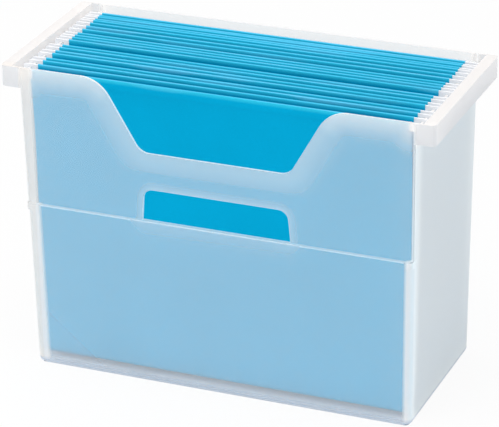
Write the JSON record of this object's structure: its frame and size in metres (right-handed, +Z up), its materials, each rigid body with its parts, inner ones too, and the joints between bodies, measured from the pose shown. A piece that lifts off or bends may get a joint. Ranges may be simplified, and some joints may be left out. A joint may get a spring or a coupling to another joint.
{
  "type": "portable file box",
  "caption": "Open-top frosted file box with end flanges, a front cut-out and a hand slot, holding letter-size hanging folders whose hooked steel bars rest on its end walls.",
  "frame": {"origin": "middle of the object's footprint, on the surface that it stands on", "axes": "+X to the right along the box's long side, +Y from the front wall with the cut-out to the back wall, +Z up"},
  "size_m": [0.34, 0.1432, 0.244],
  "materials": {
    "frosted_plastic": "frosted translucent moulded polypropylene",
    "folder_card": "blue card dyed through, matte",
    "bar_steel": "flat steel strip with a white coating over its hooks"
  },
  "bodies": {
    "box": {"box_body": "frosted_plastic"},
    "folder_1": {"folder_1_card": "folder_card", "folder_1_front_bar": "bar_steel", "folder_1_back_bar": "bar_steel"},
    "folder_2": {"folder_2_card": "folder_card", "folder_2_front_bar": "bar_steel", "folder_2_back_bar": "bar_steel"},
    "folder_3": {"folder_3_card": "folder_card", "folder_3_front_bar": "bar_steel", "folder_3_back_bar": "bar_steel"},
    "folder_4": {"folder_4_card": "folder_card", "folder_4_front_bar": "bar_steel", "folder_4_back_bar": "bar_steel"},
    "folder_5": {"folder_5_card": "folder_card", "folder_5_front_bar": "bar_steel", "folder_5_back_bar": "bar_steel"},
    "folder_6": {"folder_6_card": "folder_card", "folder_6_front_bar": "bar_steel", "folder_6_back_bar": "bar_steel"},
    "folder_7": {"folder_7_card": "folder_card", "folder_7_front_bar": "bar_steel", "folder_7_back_bar": "bar_steel"},
    "folder_8": {"folder_8_card": "folder_card", "folder_8_front_bar": "bar_steel", "folder_8_back_bar": "bar_steel"},
    "folder_9": {"folder_9_card": "folder_card", "folder_9_front_bar": "bar_steel", "folder_9_back_bar": "bar_steel"},
    "folder_10": {"folder_10_card": "folder_card", "folder_10_front_bar": "bar_steel", "folder_10_back_bar": "bar_steel"}
  },
  "joints": [
    {"name": "folder_1_lift", "type": "slide", "parent": "box", "child": "folder_1", "axis": [0, 0, 1], "range_m": [0, 0.25]},
    {"name": "folder_2_lift", "type": "slide", "parent": "box", "child": "folder_2", "axis": [0, 0, 1], "range_m": [0, 0.25]},
    {"name": "folder_3_lift", "type": "slide", "parent": "box", "child": "folder_3", "axis": [0, 0, 1], "range_m": [0, 0.25]},
    {"name": "folder_4_lift", "type": "slide", "parent": "box", "child": "folder_4", "axis": [0, 0, 1], "range_m": [0, 0.25]},
    {"name": "folder_5_lift", "type": "slide", "parent": "box", "child": "folder_5", "axis": [0, 0, 1], "range_m": [0, 0.25]},
    {"name": "folder_6_lift", "type": "slide", "parent": "box", "child": "folder_6", "axis": [0, 0, 1], "range_m": [0, 0.25]},
    {"name": "folder_7_lift", "type": "slide", "parent": "box", "child": "folder_7", "axis": [0, 0, 1], "range_m": [0, 0.25]},
    {"name": "folder_8_lift", "type": "slide", "parent": "box", "child": "folder_8", "axis": [0, 0, 1], "range_m": [0, 0.25]},
    {"name": "folder_9_lift", "type": "slide", "parent": "box", "child": "folder_9", "axis": [0, 0, 1], "range_m": [0, 0.25]},
    {"name": "folder_10_lift", "type": "slide", "parent": "box", "child": "folder_10", "axis": [0, 0, 1], "range_m": [0, 0.25]}
  ]
}
